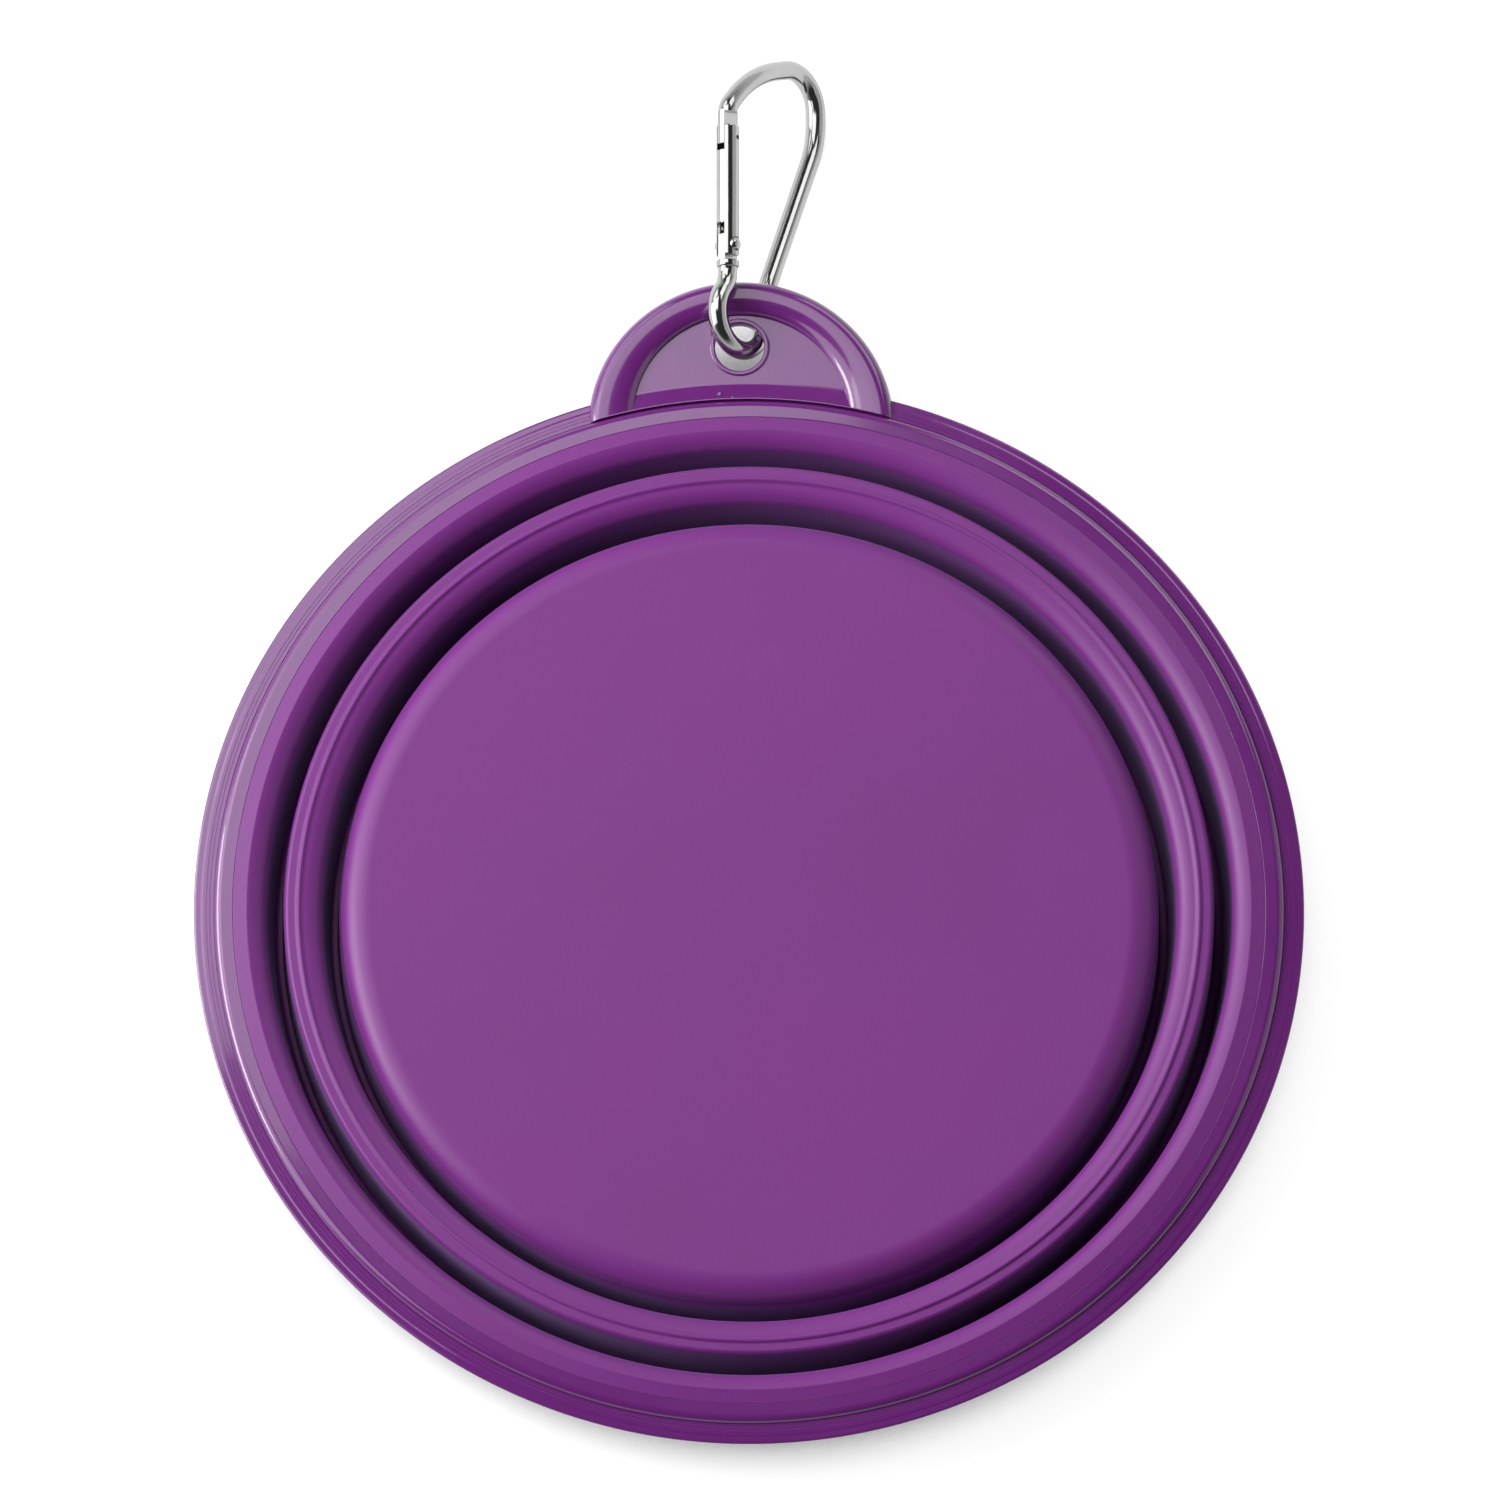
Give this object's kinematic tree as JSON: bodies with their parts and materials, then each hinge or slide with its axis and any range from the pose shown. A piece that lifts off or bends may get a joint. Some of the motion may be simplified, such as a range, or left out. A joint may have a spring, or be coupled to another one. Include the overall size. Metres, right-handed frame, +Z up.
{
  "type": "collapsible pet bowl",
  "caption": "Folding pet bowl: soft stepped rings in a hard rim with a carrying tab, and a spring-gate clip through the tab's hole.",
  "frame": {"origin": "on the bowl's axis, in the plane that the folded bowl stands on", "axes": "+Z up along the bowl's axis, out of the food side; +Y out through the carrying tab; +X to the right"},
  "size_m": [0.18, 0.237, 0.0207],
  "materials": {
    "rim_plastic": "glossy moulded hard plastic, lilac reflections",
    "silicone": "satin purple food-grade silicone",
    "clip_metal": "polished aluminium",
    "pin_steel": "plain steel"
  },
  "bodies": {
    "frame": {"rim_frame": "rim_plastic", "clamp_ring": "rim_plastic", "upper_wall": "silicone", "upper_fold": "silicone"},
    "middle": {"middle_wall": "silicone", "lower_fold": "silicone"},
    "floor": {"floor_pan": "silicone"},
    "carabiner": {"carabiner_body": "clip_metal", "hinge_rivet": "clip_metal"},
    "gate": {"carabiner_gate": "clip_metal", "latch_pin": "pin_steel", "gate_spring": "pin_steel"},
    "plunger": {"gate_plunger": "pin_steel"}
  },
  "joints": [
    {"name": "upper_fold_out", "type": "slide", "parent": "frame", "child": "middle", "axis": [0, 0, -1], "range_m": [0, 0.026], "deforming": ["upper_fold"]},
    {"name": "lower_fold_out", "type": "slide", "parent": "middle", "child": "floor", "axis": [0, 0, -1], "range_m": [0, 0.0236], "deforming": ["lower_fold"]},
    {"name": "clip_swing", "type": "hinge", "parent": "frame", "child": "carabiner", "pos_m": [0, 0.0961, 0.0137], "axis": [0, 0, 1], "range_deg": [-45, 45]},
    {"name": "gate_open", "type": "hinge", "parent": "carabiner", "child": "gate", "pos_m": [-0.0017, 0.11236, 0.01749], "axis": [-0.7653, 0.0517, -0.6416], "range_deg": [0, 35], "stiffness_Nm_per_rad": 0.02, "springref_deg": -17.19},
    {"name": "plunger_push", "type": "slide", "parent": "gate", "child": "plunger", "axis": [0.0162, 0.998, 0.061], "range_m": [0, 0.001], "deforming": ["gate_spring"]}
  ],
  "couplings": [
    {"joint": "plunger_push", "follows": "gate_open", "m_per_rad": 0.0016}
  ]
}
